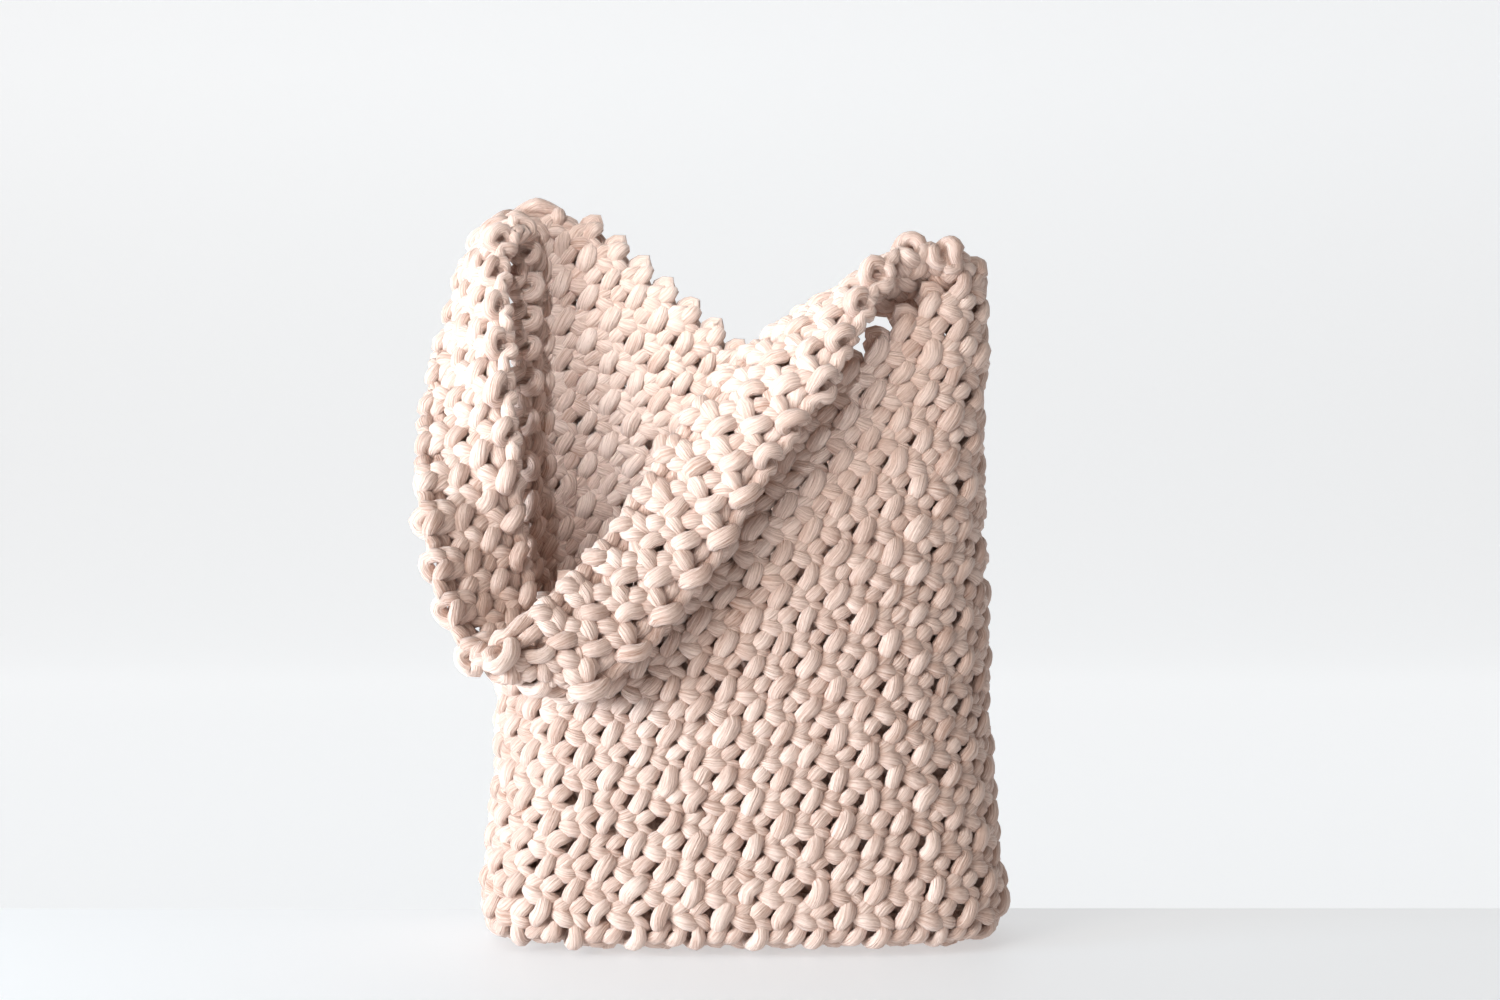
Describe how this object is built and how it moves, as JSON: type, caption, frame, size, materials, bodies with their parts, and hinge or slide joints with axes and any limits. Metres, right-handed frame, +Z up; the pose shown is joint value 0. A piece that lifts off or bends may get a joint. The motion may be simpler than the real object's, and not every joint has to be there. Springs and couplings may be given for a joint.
{
  "type": "macrame shoulder bag",
  "caption": "Tall standing bag of knotted cotton cord, with a slanted open mouth between two peaks and one broad knotted strap slung down across the front.",
  "frame": {"origin": "middle of the flat underside, on the surface the bag stands on", "axes": "+Z up, -Y towards the front, +X to the right seen from the front"},
  "size_m": [0.328, 0.1886, 0.4196],
  "materials": {
    "cotton_cord": "matte loosely twisted cotton cord, dusty pink beige"
  },
  "bodies": {
    "root": {"base_panel": "cotton_cord", "front_panel": "cotton_cord", "back_panel": "cotton_cord", "strap_front": "cotton_cord", "strap_back": "cotton_cord"}
  },
  "joints": []
}
